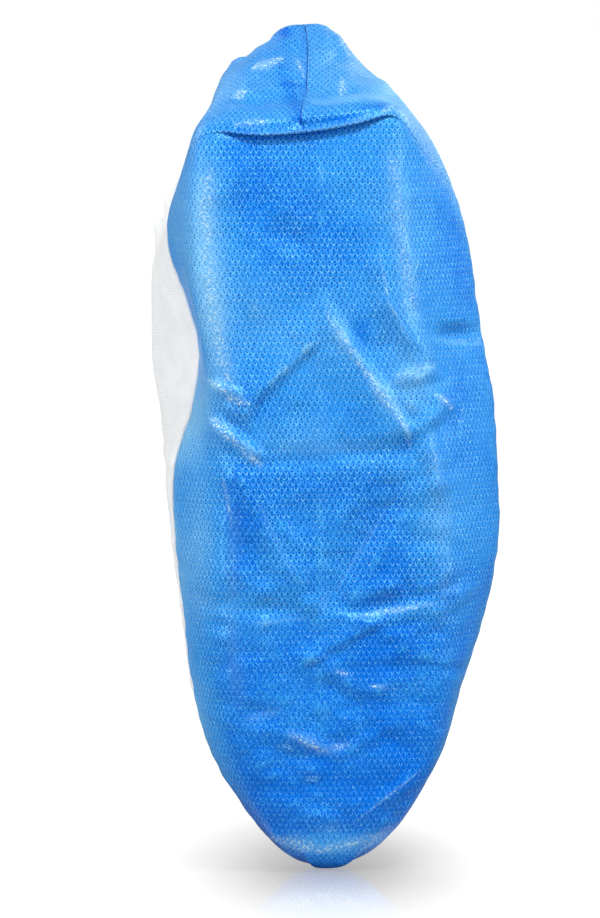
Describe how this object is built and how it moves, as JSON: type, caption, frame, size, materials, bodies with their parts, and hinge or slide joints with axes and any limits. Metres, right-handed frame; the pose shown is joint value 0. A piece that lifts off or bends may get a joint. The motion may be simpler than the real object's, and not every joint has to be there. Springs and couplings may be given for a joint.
{
  "type": "shoe cover",
  "caption": "Slip-on disposable overshoe with an embossed film sole panel, a nonwoven upper and an elastic opening, in the form it takes on a shoe.",
  "frame": {"origin": "middle of the ankle opening, where the foot goes in", "axes": "+Z from the toe to the heel, which is up as the cover stands on its toe; -Y is the way the sole faces; +X is to the right seen from the sole"},
  "size_m": [0.1352, 0.1253, 0.3344],
  "materials": {
    "sole_film": "embossed film laminated on nonwoven, satin gloss",
    "upper_nonwoven": "point-bonded spunbond nonwoven, matt",
    "elastic_tape": "knitted elastic tape, matt"
  },
  "bodies": {
    "root": {"sole_panel": "sole_film", "upper_panel": "upper_nonwoven", "ankle_elastic": "elastic_tape"}
  },
  "joints": []
}
